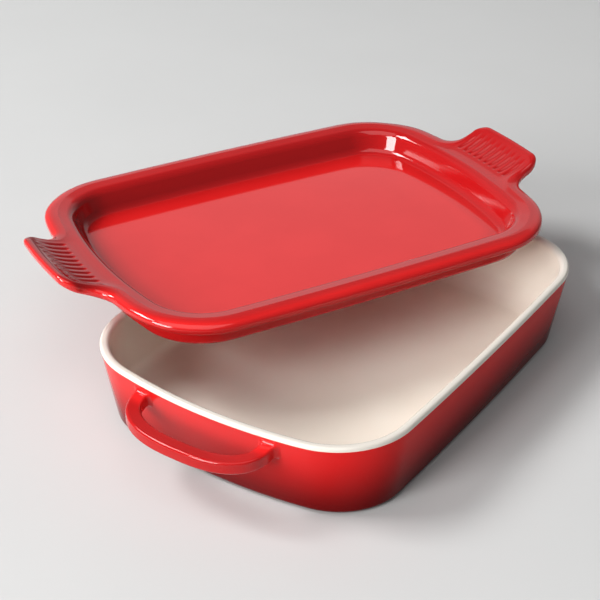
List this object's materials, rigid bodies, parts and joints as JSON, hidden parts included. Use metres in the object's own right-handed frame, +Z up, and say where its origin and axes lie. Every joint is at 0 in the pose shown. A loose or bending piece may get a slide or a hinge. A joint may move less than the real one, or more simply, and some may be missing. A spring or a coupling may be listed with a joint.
{
  "type": "lidded baking dish",
  "caption": "Rectangular glazed stoneware baking dish with bowed ends, loop handles and a pale lining, and a tray-shaped lid with scooped, grooved grips.",
  "frame": {"origin": "middle of the dish's flat underside", "axes": "+Z up, X along the dish from handle to handle, Y across it"},
  "size_m": [0.4082, 0.326, 0.0894],
  "materials": {
    "red_glaze": "gloss",
    "pale_glaze": "gloss"
  },
  "bodies": {
    "dish": {"dish_body": "red_glaze", "dish_lining": "pale_glaze"},
    "lid": {"lid": "red_glaze"}
  },
  "joints": [
    {"name": "lid_lift", "type": "slide", "parent": "dish", "child": "lid", "axis": [0, 0, 1], "range_m": [0, 0.15]}
  ]
}
